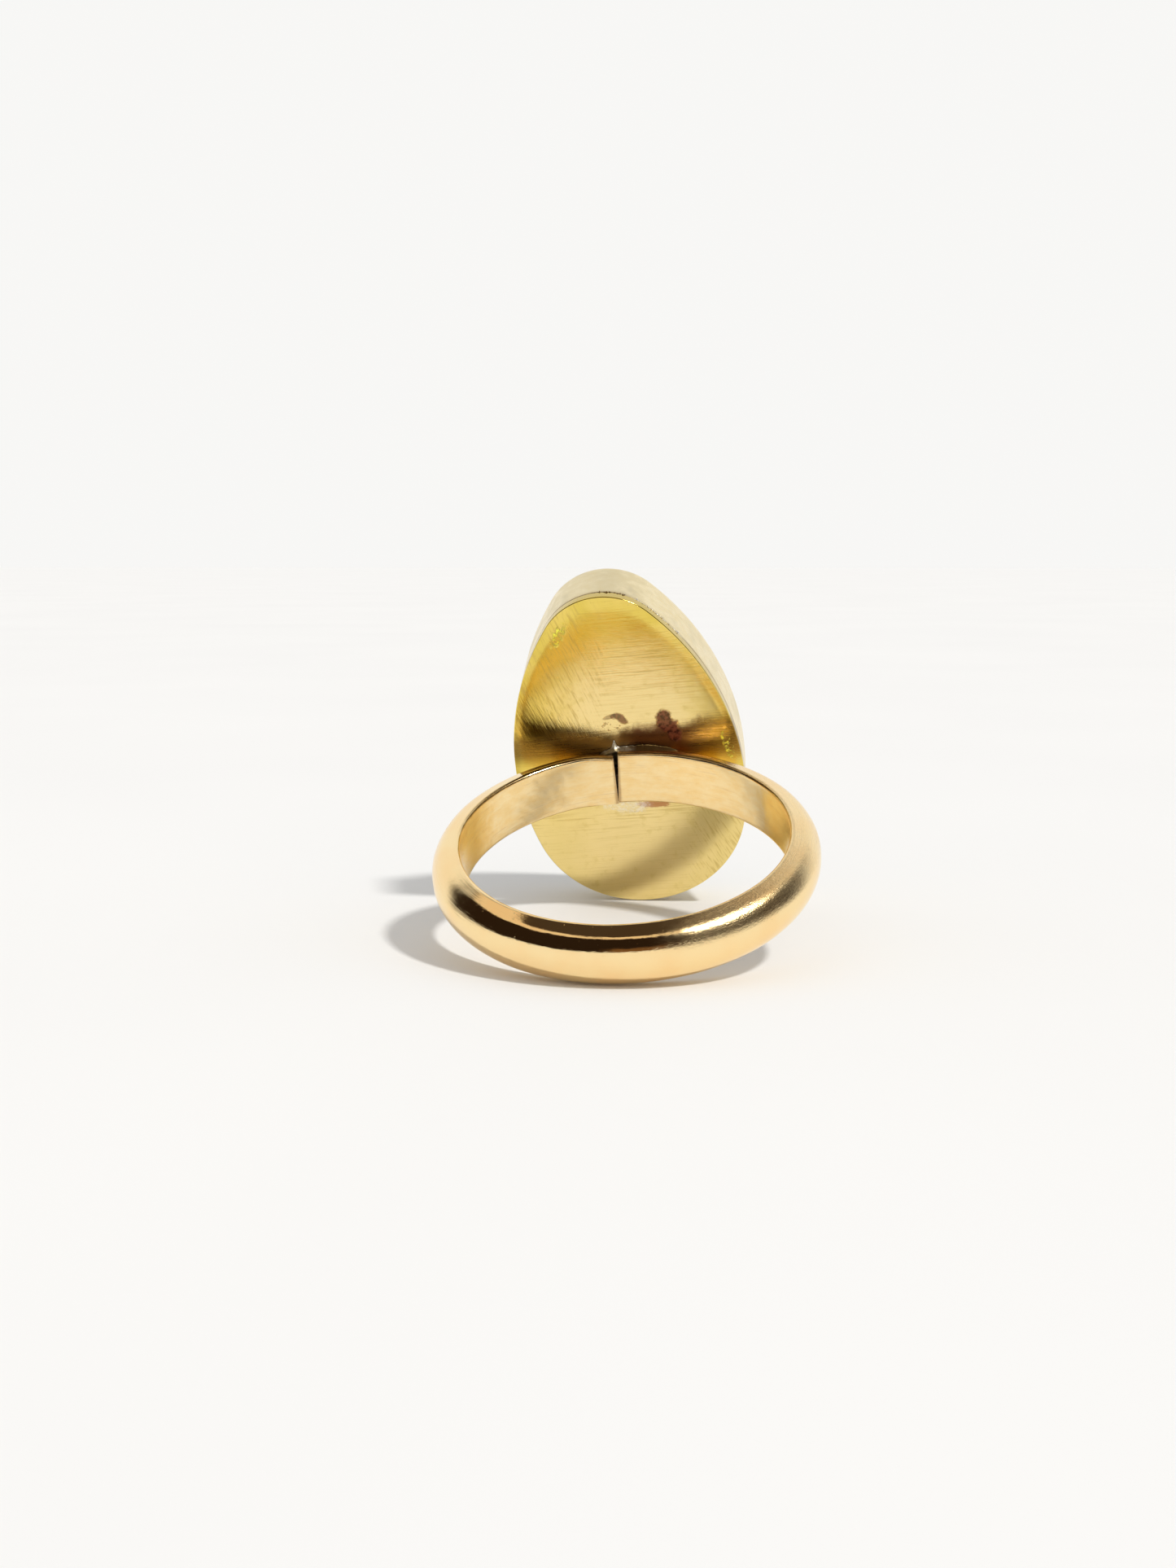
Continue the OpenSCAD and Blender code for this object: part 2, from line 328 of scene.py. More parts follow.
class ShaderMaths:
    # a shader's node tree, emptied, whose nodes give back values for Python expressions
    def __init__(self, tree):
        self.tree = tree
        tree.nodes.clear()

    def maths(self, operation, *values):
        return self.node("ShaderNodeMath", {"operation": operation}, dict(enumerate(values)))

    def node(self, kind, settings, sockets, output=0):
        # settings come first, then the values or links of its sockets
        made = self.tree.nodes.new(kind)
        for key, value in settings.items():
            setattr(made, key, value)
        for key, value in sockets.items():
            target = made.inputs[key] if isinstance(key, int) else next(
                s for s in made.inputs if key in (s.identifier, s.name) and s.enabled)
            if isinstance(value, Value):
                self.tree.links.new(value.socket, target)
            elif value is not None:
                target.default_value = value
        found = made.outputs[output] if isinstance(output, int) else next(
            s for s in made.outputs if output in (s.identifier, s.name) and s.enabled)
        return Value(self, found)

    def parts(self, vector):
        return [self.node("ShaderNodeSeparateXYZ", {}, {0: vector}, i) for i in range(3)]

    def joined(self, x, y, z):
        return self.node("ShaderNodeCombineXYZ", {}, {0: x, 1: y, 2: z})

    def cloud(self, vector, scale, detail=2.0, roughness=0.5, distortion=0.0):
        return self.node("ShaderNodeTexNoise", {"noise_dimensions": "3D"}, {
            "Vector": vector, "Scale": scale, "Detail": detail, "Roughness": roughness,
            "Distortion": distortion}, 0)

    def ease(self, value, low, high):
        # 0 at low, 1 at high, smooth between; low may be the larger one
        start, end = (0.0, 1.0) if low < high else (1.0, 0.0)
        return self.node("ShaderNodeMapRange", {"interpolation_type": "SMOOTHSTEP"}, {
            "Value": value, "From Min": min(low, high), "From Max": max(low, high),
            "To Min": start, "To Max": end})

    def blend(self, mask, first, second):
        return self.node("ShaderNodeMix", {"data_type": "RGBA", "clamp_factor": True}, {
            "Factor_Float": mask, "A_Color": self.colour(first),
            "B_Color": self.colour(second)}, "Result_Color")

    def colour(self, value):
        return value if isinstance(value, Value) else (*value, 1)

    def turned(self, x, y, degrees):
        # how far along and across a direction that lies that many degrees from x
        cosine, sine = math.cos(math.radians(degrees)), math.sin(math.radians(degrees))
        return x * cosine + y * sine, y * cosine - x * sine

    def spot(self, x, y, wobble, centre, size, raggedness, turn):
        # a soft-edged ragged blot, turned by that many degrees: 1 inside, 0 outside
        along, across = self.turned(x - centre[0], y - centre[1], turn)
        away = self.distance(along / size[0], across / size[1], (0, 0)) + (wobble - 0.5) * raggedness
        return self.ease(away, 1.18, 0.72)

    def blots(self, x, y, wobble, marks):
        # blots added up; each is (centre, size, raggedness, turn, strength)
        found = [self.spot(x, y, wobble, *shape) * strength for *shape, strength in marks]
        return sum(found).maths("MINIMUM", 1.0)

    def distance(self, x, y, centre):
        right, up = x - centre[0], y - centre[1]
        return (right * right + up * up).maths("SQRT")

    def pits(self, vector, scale):
        # how far each place is from the nearest of many scattered points
        return self.node("ShaderNodeTexVoronoi", {"feature": "F1"}, {"Vector": vector, "Scale": scale}, 0)


class Shader(ShaderMaths):
    # a material with one Principled surface
    def __init__(self, name, settings):
        self.material = bpy.data.materials.new(name)
        self.material.use_nodes = True
        super().__init__(self.material.node_tree)
        self.surface = self.tree.nodes.new("ShaderNodeBsdfPrincipled")
        output = self.tree.nodes.new("ShaderNodeOutputMaterial")
        self.tree.links.new(self.surface.outputs["BSDF"], output.inputs["Surface"])
        for key, value in settings.items():
            self.surface.inputs[key].default_value = value

    def place(self, pose):
        # Object coordinates as millimetres in the frame of that pose
        back = pose.inverted()
        here = self.node("ShaderNodeTexCoord", {}, {}, "Object")
        return self.node("ShaderNodeMapping", {"vector_type": "POINT"}, {
            "Vector": here, "Location": back.translation / mm,
            "Rotation": back.to_euler("XYZ"), "Scale": (1 / mm, 1 / mm, 1 / mm)})

    def bump(self, height, distance, strength=1.0, under=None):
        return self.node("ShaderNodeBump", {}, {
            "Strength": strength, "Distance": distance * mm, "Height": height, "Normal": under})

    def feed(self, **links):
        for key, value in links.items():
            label = key.replace("_", " ")
            if isinstance(value, Value):
                self.tree.links.new(value.socket, self.surface.inputs[label])
            else:
                self.surface.inputs[label].default_value = value
        return self.material


shankSizes = {
    "domeRise": 0.65,        # how far the domed outside stands above its creases
    "sideSlope": 0.25,       # how far a side face slopes in towards its crease
    "boreRound": 0.25,       # rounding of the bore's edges
    "creaseRound": 0.13,     # rounding of the creases
    "edgeDrop": 0.02,        # how far a side face drops over the rounding of the bore's edge
    "jointAngle": 6.2,       # degrees from the head's middle to the butt joint
    "gapTop": 0.26,          # width of the open joint at the upper edge
    "gapFoot": 0.012,        # and where its ends meet
    "gapEnds": 0.38,         # how far below the middle they meet, as a share of the width
    "gapReach": 1.2,         # how far along the shank its ends are bent to open it
    "gapCurve": 0.8,         # how early it opens: 1 is a straight V
    "jointStep": 0.22,       # how far one end sits lower than the other
    "stepLength": 3.0,       # how far along the shank that end is bent down
    "unevenness": 0.022,
    "waveLength": 3.2,
    "seed": 3.0,
    "stations": 720,
}


# the dome is an arc between the creases, which stand at creaseZ on either side
creaseZ = shankWidth / 2 - shankSizes["sideSlope"]
domeRadius = (creaseZ ** 2 + shankSizes["domeRise"] ** 2) / (2 * shankSizes["domeRise"])


def shankSection(sizes):
    wall = outerRadius - boreRadius
    crease = wall - sizes["domeRise"]
    halfWidth = shankWidth / 2
    fullAngle = math.asin(creaseZ / domeRadius)
    edge, drop = sizes["boreRound"], sizes["edgeDrop"]
    lead = sizes["creaseRound"] * 1.6
    sideLength = math.hypot(crease - edge, sizes["sideSlope"])
    share = lead / sideLength
    onSide = (crease - (crease - edge) * share, creaseZ + sizes["sideSlope"] * share)
    domeAngle = fullAngle - lead / domeRadius

    def dome(angle):
        return (wall - domeRadius * (1 - math.cos(angle)), domeRadius * math.sin(angle))

    # from the middle of the bore, round its edge, up the side face and over the crease to the dome's top
    boreSteps, sideSteps, domeSteps = 5, 6, 14
    half = [(0, (halfWidth - edge) * i / boreSteps) for i in range(1, boreSteps)]
    half += bend((0, halfWidth - edge), (0, halfWidth), (edge, halfWidth - drop), 7)
    for i in range(sideSteps):
        t = i / sideSteps
        half.append((edge + (onSide[0] - edge) * t, halfWidth - drop + (onSide[1] - halfWidth + drop) * t))
    half += bend(onSide, (crease, creaseZ), dome(domeAngle), 8)
    half += [dome(domeAngle * (1 - i / domeSteps)) for i in range(domeSteps)]
    mirrored = [(out, -z) for out, z in reversed(half)]
    return [(0, 0)] + half + [(wall, 0)] + mirrored


def makeShank(material):
    sizes = shankSizes
    joint = math.radians(90 + sizes["jointAngle"])
    meanGap = (sizes["gapTop"] + sizes["gapFoot"]) / 2
    halfGap = meanGap / 2 / boreRadius
    first, last = joint + halfGap, joint + 2 * math.pi - halfGap
    stations = sizes["stations"]
    path = []
    for i in range(stations + 1):
        angle = first + (last - first) * i / stations
        path.append((boreRadius * math.cos(angle), boreRadius * math.sin(angle), 0))
    mesh = sweptMesh("shank", path, False, shankSection(sizes), sizes, material)
    foot = -sizes["gapEnds"] * shankWidth
    for v in mesh.vertices:
        x, y, z = v.co
        radius, angle = math.hypot(x, y), math.atan2(y, x)
        turn = (angle - joint + math.pi) % (2 * math.pi) - math.pi
        along = turn * radius
        # the cut ends: square across the joint, and open towards the top
        near = 1 - smoothStep(0.0, sizes["gapReach"], abs(along))
        opening = max(0, (z - foot) / (shankWidth / 2 - foot)) ** sizes["gapCurve"]
        gap = sizes["gapFoot"] + (sizes["gapTop"] - sizes["gapFoot"]) * opening
        shift = (gap - meanGap * radius / boreRadius) / 2 * near
        turn += math.copysign(1, turn) * shift / radius
        # the end on the left sits a little lower than the other
        if turn > 0:
            z -= sizes["jointStep"] * (1 - smoothStep(0, sizes["stepLength"], along)) ** 2
        angle = joint + turn
        z = max(-shankWidth / 2 + inside, min(shankWidth / 2 - inside, z))
        radius = min(radius, outerRadius - inside)
        # filed flat where the head sits
        v.co = (radius * math.cos(angle), min(radius * math.sin(angle), plateBack - inside), z)
    return placedPiece("shankBand", mesh, ringPose, material)


outlineSizes = {
    "bigEndRadius": 6.3,
    "smallEndRadius": 3.8,
    "sideRadius": 15.4,
    "stations": 360,
}

endGap = headLength - outlineSizes["bigEndRadius"] - outlineSizes["smallEndRadius"]
bigReach = outlineSizes["sideRadius"] - outlineSizes["bigEndRadius"]
smallReach = outlineSizes["sideRadius"] - outlineSizes["smallEndRadius"]
sideY = (bigReach ** 2 - smallReach ** 2 + endGap ** 2) / (2 * endGap)
sideX = math.sqrt(bigReach ** 2 - sideY ** 2)
bigJoin = math.atan2(-sideY, sideX)
smallJoin = math.atan2(endGap - sideY, sideX)
bigEndY = outlineSizes["bigEndRadius"] - headLength / 2


def outlinePoint(direction, grow=0.0):
    # the point of the egg outline that faces that direction, with the outline grown
    side = math.copysign(1, math.cos(direction))
    rise = math.asin(max(-1, min(1, math.sin(direction))))
    if rise >= smallJoin:
        reach, x, y = outlineSizes["smallEndRadius"] + grow, 0, endGap
    elif rise <= bigJoin:
        reach, x, y = outlineSizes["bigEndRadius"] + grow, 0, 0
    else:
        reach, x, y = outlineSizes["sideRadius"] + grow, -side * sideX, sideY
    return (x + reach * math.cos(direction), bigEndY + y + reach * math.sin(direction))


def outlinePath(first, last, closed):
    count = max(6, round(outlineSizes["stations"] * (last - first) / (2 * math.pi)))
    stops = count if closed else count + 1
    return [(*outlinePoint(first + (last - first) * i / count), 0) for i in range(stops)]


def unwarped(x, y, share, height):
    return 0


def discMesh(name, rings, warp=unwarped):
    # rings from the middle of the back, round the edge, to the middle of the front:
    # each is (share of the outline, growth, level)
    count = outlineSizes["stations"]
    mesh = bpy.data.meshes.new(name)
    grid = bmesh.new()
    loops = []
    for share, grow, height in rings:
        if share == 0:
            loops.append([grid.verts.new((0, 0, -height))])
            continue
        loop = []
        for i in range(count):
            x, y = outlinePoint(2 * math.pi * i / count, grow)
            x, y = x * share, y * share
            loop.append(grid.verts.new((x, y, -height - warp(x, y, share, height))))
        loops.append(loop)
    for inner, outer in zip(loops, loops[1:]):
        for i in range(count):
            j = (i + 1) % count
            if len(inner) == 1:
                grid.faces.new((inner[0], outer[i], outer[j]))
            elif len(outer) == 1:
                grid.faces.new((inner[i], inner[j], outer[0]))
            else:
                grid.faces.new((inner[i], inner[j], outer[j], outer[i]))
    grid.to_mesh(mesh)
    grid.free()
    return mesh


plateSizes = {
    "crownSlope": 0.10,      # how steeply the plate's back falls away at its edge
    "crownStart": 0.90,      # where it starts to, as a share of the way to the edge
    "crownEnd": 0.97,
    "dish": 0.10,            # how far the middle of the plate's back is dished
    "dishEnd": 0.92,         # where the dish runs out
    "flatEnd": 0.972,        # where the rounding of the filed edge starts
    "edge": 0.06,            # that rounding's radius
    "edgeStep": 0.015,       # how far the filed edge sits below the back
    "waves": 0.014,          # how uneven the back is
}


def makePlate(material):
    sizes = plateSizes
    edge, flatEnd = sizes["edge"], sizes["flatEnd"]
    rings = [(0, 0, sizes["dish"])]
    steps, edgeSteps = 60, 6
    crown = 0
    for i in range(1, steps + 1):
        share = i / steps * flatEnd
        slope = sizes["crownSlope"] * smoothStep(sizes["crownStart"], sizes["crownEnd"], share)
        crown += slope * headLength / 2 * flatEnd / steps
        fall = crown + sizes["dish"] * (1 - smoothStep(0, sizes["dishEnd"], share))
        rings.append((share, 0, fall))
    fall += sizes["edgeStep"]
    for i in range(edgeSteps + 1):
        turn = i / edgeSteps * math.pi / 2
        rings.append((1, -edge * (1 - math.sin(turn)), fall + edge * (1 - math.cos(turn))))
    side = fall + edge
    rings += [(1, -0.003, side + (plateThick - side) * share) for share in (0.5, 1.0)]
    rings += [(share, 0, plateThick) for share in (0.95, 0.7, 0.4, 0.2)]
    rings.append((0, 0, plateThick))

    def warp(x, y, share, height):
        if height > plateThick / 2 or share == 1:
            return 0
        hand = noise.noise(Vector((x * 0.28, y * 0.28, 4.0)))
        hand += 0.5 * noise.noise(Vector((x * 0.7, y * 0.7, 9.0)))
        # level in the middle and at the edge
        away = smoothStep(0.15, 0.5, share) * (1 - smoothStep(0.9, sizes["crownEnd"], share))
        return sizes["waves"] * (hand + 0.8) * away

    return placedPiece("plateDisc", discMesh("plateDisc", rings, warp), headPose, material)


bezelSizes = {
    "wallThick": 0.55,
    "lipOver": 0.4,          # how far the burnished lip leans in over the stone
    "lipHeight": 0.5,
    "lipEdge": 0.22,
    "stripJoint": 0.24,      # width of the soldered joint between the strip's ends
    "strip": {"unevenness": 0.014, "waveLength": 3.6, "seed": 7.0},
    "joint": {"unevenness": 0.02, "waveLength": 0.5, "seed": 11.0},
    "film": {"unevenness": 0.012, "waveLength": 0.35, "seed": 5.0},
}


def bezelSection(sizes):
    lip = rimLevel - sizes["lipHeight"]
    over, tip = sizes["lipOver"], sizes["lipEdge"]
    wall = -sizes["wallThick"]
    # up the outside, round the burnished lip, and down the inside
    points = [(-0.004, wallBase + 0.02)]
    points += [(0, wallBase + 0.1 + (lip - wallBase - 0.4) * i / 8) for i in range(8)]
    points += bend((0, lip - 0.3), (0, lip + 0.12), (-over / 2, rimLevel - tip), 8)
    crest, lipPoint = (-over - tip * 0.5, rimLevel), (wall - over + 0.08, rimLevel - tip + 0.04)
    points += bend((-over / 2, rimLevel - tip), (-over + 0.06, rimLevel + 0.02), crest, 6)
    points += bend(crest, (-over - tip - 0.04, rimLevel - 0.01), lipPoint, 5)
    points += bend(lipPoint, (wall - over, rimLevel - tip - 0.02), (wall - 0.2, lip + 0.12), 4)
    points += [(wall, lip), (wall, (lip + wallBase) / 2), (wall, wallBase + 0.03)]
    points += [(wall + 0.05, wallBase), (-0.012, wallBase)]
    return [(out, -z) for out, z in reversed(points)]


def makeBezel(wallMaterial, solderMaterial):
    sizes = bezelSizes
    down = -math.pi / 2
    half = sizes["stripJoint"] / 2 / (outlineSizes["bigEndRadius"] - sizes["wallThick"])
    section = bezelSection(sizes)
    strip = sweptMesh("bezelStrip", outlinePath(down + half, down + 2 * math.pi - half, False), False,
                      section, sizes["strip"], wallMaterial)
    seam = sweptMesh("stripSeam", outlinePath(down - half, down + half, False), False,
                     section, sizes["joint"], solderMaterial)
    filmMiddle, foot = (wallBase + plateThick) / 2, -sizes["wallThick"]
    ring = [(-0.006, plateThick - 0.01), (0.0, filmMiddle), (-0.006, wallBase + 0.01),
            (foot, wallBase), (foot, plateThick)]
    base = sweptMesh("plateSeam", outlinePath(0, 2 * math.pi, True), True,
                     [(out, -z) for out, z in reversed(ring)], sizes["film"], solderMaterial)
    for mesh in (strip, seam, base):
        for v in mesh.vertices:
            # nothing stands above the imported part's rim
            v.co.z = max(-rimLevel + 0.001, v.co.z)
    return (placedPiece("bezelStrip", strip, headPose, wallMaterial),
            placedPiece("stripSeam", seam, headPose, solderMaterial),
            placedPiece("plateSeam", base, headPose, solderMaterial))


stoneSizes = {
    "clear": 0.08,           # between the stone and the bezel
    "girdleEnd": 0.7,        # how far below the lip the straight side ends
    "shoulderRise": 0.12,    # how far into the lip the dome starts
    "domeSteps": 34,
}


def makeStone(material):
    sizes = stoneSizes
    girdle = -bezelSizes["wallThick"] - sizes["clear"]
    lip = rimLevel - bezelSizes["lipHeight"]
    shoulder = girdle - bezelSizes["lipOver"]
    sideEnd, start, top = lip - sizes["girdleEnd"], lip + sizes["shoulderRise"], stoneTop - 0.003
    # over the flat foot, round its filed edge and up the side, then over the dome
    rings = [(0, 0, stoneFoot)]
    rings += [(share, girdle - 0.1, stoneFoot) for share in (0.2, 0.4, 0.6, 0.8, 0.95, 1.0)]
    rings += [(1, girdle - 0.03, stoneFoot + 0.04), (1, girdle, stoneFoot + 0.12)]
    rings += [(1, girdle, stoneFoot + (sideEnd - 0.05 - stoneFoot) * t) for t in (0.35, 0.7, 1.0)]
    rings += [(1, grow, height) for grow, height in
              bend((girdle, sideEnd), (girdle, lip - 0.2), (shoulder, start), 8)]
    for i in range(sizes["domeSteps"]):
        t = i / sizes["domeSteps"] * math.pi / 2
        rings.append((math.cos(t), shoulder, start + (top - start) * math.sin(t)))
    rings.append((0, 0, top))
    return placedPiece("cabochon", discMesh("cabochon", rings), headPose, material)


grainSizes = {
    "from": 32, "to": 86,    # directions round the outline, in degrees
    "count": 90,
    "radius": 0.072,
    "spread": 0.05,          # how far a grain strays from the line
    "inset": 0.035,          # how far the line runs inside the outline
    "seed": 4,
}


def grainTree():
    # grains of solder that were left along an edge: little balls scattered on a path
    g = PieceGraph("scatteredGrains", (
        ("Path", "Object", None), ("Count", "Int", 10), ("Radius", "Float", 0.05),
        ("Spread", "Float", 0.05), ("Seed", "Int", 1), ("Metal", "Material", None)))

    def scattered(low, high, seedStep):
        made = g.node("FunctionNodeRandomValue", data_type="FLOAT_VECTOR")
        ends = [entry for entry in made.inputs if entry.type == "VECTOR"]
        ends[0].default_value, ends[1].default_value = low, high
        later = g.node("ShaderNodeMath", operation="ADD")
        g.join(g.given["Seed"], later.inputs[0])
        later.inputs[1].default_value = seedStep
        g.join(later.outputs[0], made.inputs["Seed"])
        return made.outputs[0]

    spots = g.node("GeometryNodeCurveToPoints", mode="COUNT")
    g.join(g.drawn("Path"), spots.inputs["Curve"])
    g.join(g.given["Count"], spots.inputs["Count"])
    strewn = g.moved(spots.outputs["Points"], scattered((-1, -1, -1), (1, 1, 1), 0), g.given["Spread"])
    ball = g.node("GeometryNodeMeshIcoSphere")
    g.join(g.given["Radius"], ball.inputs["Radius"])
    ball.inputs["Subdivisions"].default_value = 2
    grains = g.node("GeometryNodeInstanceOnPoints")
    g.join(strewn, grains.inputs["Points"])
    g.join(ball.outputs["Mesh"], grains.inputs["Instance"])
    g.join(scattered((0.4, 0.4, 0.4), (1.2, 1.0, 0.9), 50), grains.inputs["Scale"])
    return g.dressed(grains.outputs["Instances"])


def makeGrains(material):
    sizes = grainSizes
    first, last = math.radians(sizes["from"]), math.radians(sizes["to"])
    steps = 40
    film = (wallBase + plateThick) / 2
    line = []
    for i in range(steps + 1):
        line.append((*outlinePoint(first + (last - first) * i / steps, -sizes["inset"]), -film))
    rail = drawnCurve("grainPath", line, False)
    mesh = nodesMesh("solderGrains", grainTree(), {
        "Path": rail, "Count": sizes["count"], "Radius": sizes["radius"], "Spread": sizes["spread"],
        "Seed": sizes["seed"], "Metal": material})
    bpy.data.objects.remove(rail)
    return placedPiece("solderGrains", mesh, headPose, material)


jointSizes = {
    "reach": 2.5,            # how far the solder runs each way along the plate
    "creep": 0.05,           # how far it climbs the plate past the shank
    "middleX": 0.3,          # where its middle lies across the head
    "finger": 0.50,          # the spike of solder that stands over the open joint
    "fingerWidth": 0.13,
    "pool": 0.55,            # the pool that ran out below
    "poolX": -0.5,
    "poolWidth": 0.9,
    "sink": 0.03,            # how far it reaches into the plate and the shank
    "stations": 96,
}


def makeHeadJoint(material):
    # solder that fills the wedge between the shank's dome and the plate, with hollow faces above and below
    sizes = jointSizes
    jointX = -plateBack * math.tan(math.radians(shankSizes["jointAngle"]))
    plateY = plateBack + sizes["sink"]
    skinY = plateBack - 0.012

    def domeY(x, z):
        radius = outerRadius - domeRadius * (1 - math.cos(math.asin(z / domeRadius)))
        return math.sqrt(radius ** 2 - x ** 2) - sizes["sink"]

    def hump(x, middle, width):
        return math.exp(-((x - middle) / width) ** 2)

    grid = bmesh.new()
    loops = []
    for i in range(sizes["stations"] + 1):
        across = 2 * i / sizes["stations"] - 1
        x = sizes["middleX"] + across * sizes["reach"]
        swell = math.sqrt(max(0.0004, 1 - across ** 2))
        ragged = noise.noise(Vector((x * 2.3, 0.5, 2.0))) * 0.6
        ragged += noise.noise(Vector((x * 7.0, 3.5, 1.0))) * 0.9
        # top is where it leaves the dome; it climbs and drips further than that on the plate
        top = creaseZ * 0.98 * swell ** 0.5
        spike = sizes["finger"] * hump(x, jointX, sizes["fingerWidth"])
        climb = top + sizes["creep"] * (1 + ragged) * swell + spike
        pool = 0.12 + sizes["pool"] * hump(x, sizes["poolX"], sizes["poolWidth"])
        drip = top + pool * swell * (1 + 0.5 * ragged)
        thick = 0.02 + 0.12 * hump(x, jointX, sizes["fingerWidth"] * 1.6)
        section = [(plateY, climb)]
        section += bend((skinY, climb - 0.02), (plateBack - thick, top + 0.04), (domeY(x, top), top), 7)
        section += [(domeY(x, z), z) for z in (top * (1 - k / 4) for k in range(8))]
        section += bend((domeY(x, -top), -top), (plateBack - 0.05, -top - 0.04), (skinY, -drip + 0.02), 7)
        section += [(skinY, -drip + 0.02), (plateY, -drip)]
        loops.append([grid.verts.new((x, y, z)) for y, z in section])
    count = len(loops[0])
    for first, second in zip(loops, loops[1:]):
        for k in range(count):
            grid.faces.new((first[k], first[(k + 1) % count], second[(k + 1) % count], second[k]))
    grid.faces.new(loops[0])
    grid.faces.new(loops[-1])
    mesh = bpy.data.meshes.new("headJoint")
    grid.to_mesh(mesh)
    grid.free()
    return placedPiece("headJoint", mesh, ringPose, material)


metal = {"Metallic": 1.0, "IOR": 1.5}


def shankGold():
    s = Shader("shankGold", metal)
    here = s.place(ringPose)
    x, y, z = s.parts(here)
    radius = s.distance(x, y, (0, 0))
    angle = y.maths("ARCTAN2", x)
    scratch = s.cloud(s.joined(angle * 3.5, radius * 12.0, z * 12.0), 1.0, 4.0, 0.65)
    rubbed = s.cloud(s.joined(angle * 9.0, radius * 2.2, z * 2.2), 1.0, 4.0, 0.6)
    grain = s.cloud(here, 9.0, 3.0, 0.7)
    blotch = s.cloud(here, 0.5, 3.0)
    dents = s.cloud(here, 0.75, 2.0)
    onBore = s.ease(radius, boreRadius + 0.14, boreRadius + 0.03)
    upper = s.ease(z, 0.15, 0.75)
    # the right half was left matt from the file, the left half was polished
    frosty = s.ease(x + (rubbed - 0.5) * 3.0, 0.8, 4.4) * upper * (1 - onBore)
    worn = s.ease(x, -5.5, -8.5)
    rosy = s.blend(s.ease(blotch, 0.35, 0.68), (1.0, 0.77, 0.41), (1.0, 0.73, 0.37))
    boreTone = s.blend(s.ease(rubbed, 0.3, 0.7), (1.0, 0.80, 0.45), (0.97, 0.71, 0.33))
    toned = s.blend(onBore, rosy, boreTone)
    seamAway = abs(x + y * math.tan(math.radians(shankSizes["jointAngle"])))
    sooty = s.ease(seamAway + (grain - 0.5) * 0.12, 0.26, 0.10) * s.ease(y, 8.2, 8.6)
    smoke = s.ease(scratch, 0.57, 0.72) * onBore * 0.5
    greyed = s.blend(smoke, toned, (0.70, 0.47, 0.27))
    colour = s.blend(sooty * 0.55, greyed, (0.33, 0.18, 0.08))
    roughness = (0.06 + frosty * 0.20 + worn * 0.05 + onBore * (0.05 + rubbed * 0.16)
                 + (scratch - 0.5) * 0.14 + sooty * 0.2)
    height = (scratch * (0.35 + onBore * 0.6 + worn * 1.6) + frosty * grain * 2.6
              + s.ease(s.pits(here, 2.3), 0.0, 0.08) * 0.9)
    bumped = s.bump(height, 0.008, 0.75)
    soft = s.bump(dents * (0.35 + onBore * 0.9) + rubbed * 0.25, 0.06, 0.5, bumped)
    return s.feed(Base_Color=colour, Roughness=roughness.maths("MAXIMUM", 0.04), Normal=soft)


def strokes(s, x, y, angle, width, length, seed):
    # brush strokes that run in one direction across the plate
    along, across = s.turned(x, y, angle)
    return s.cloud(s.joined(along / length, across / width, seed), 1.0, 4.0, 0.62)


# each is (centre, size, raggedness, turn, strength), in the ring's own frame
plateMarks = {
    "blob": (((1.80, 3.12), (0.46, 0.44), 1.0, 0, 1.0), ((2.00, 2.62), (0.58, 0.46), 1.1, 0, 1.0),
             ((2.40, 2.02), (0.40, 0.55), 1.2, 20, 1.0)),
    "hook": (((-1.22, 3.22), (0.46, 0.13), 0.9, 18, 0.6), ((-0.62, 3.10), (0.46, 0.24), 0.9, -42, 1.0),
             ((-0.92, 3.22), (0.30, 0.18), 0.9, 0, 0.5)),
    "trail": (((-1.25, 2.60), (0.55, 0.28), 1.6, 0, 1.0),),
    "red": (((0.95, -2.55), (0.95, 0.24), 1.5, 0, 0.75),),
    "silver": (((-0.55, -2.62), (1.35, 0.50), 1.6, 0, 0.8),),
    # two nicks whose colour carries a painted yellow glint
    "nicksWithPaintedGlints": (((-3.8, 8.4), (0.34, 0.80), 1.0, -30, 1.0), ((5.4, 1.3), (0.26, 0.95), 1.0, 15, 1.0)),
}


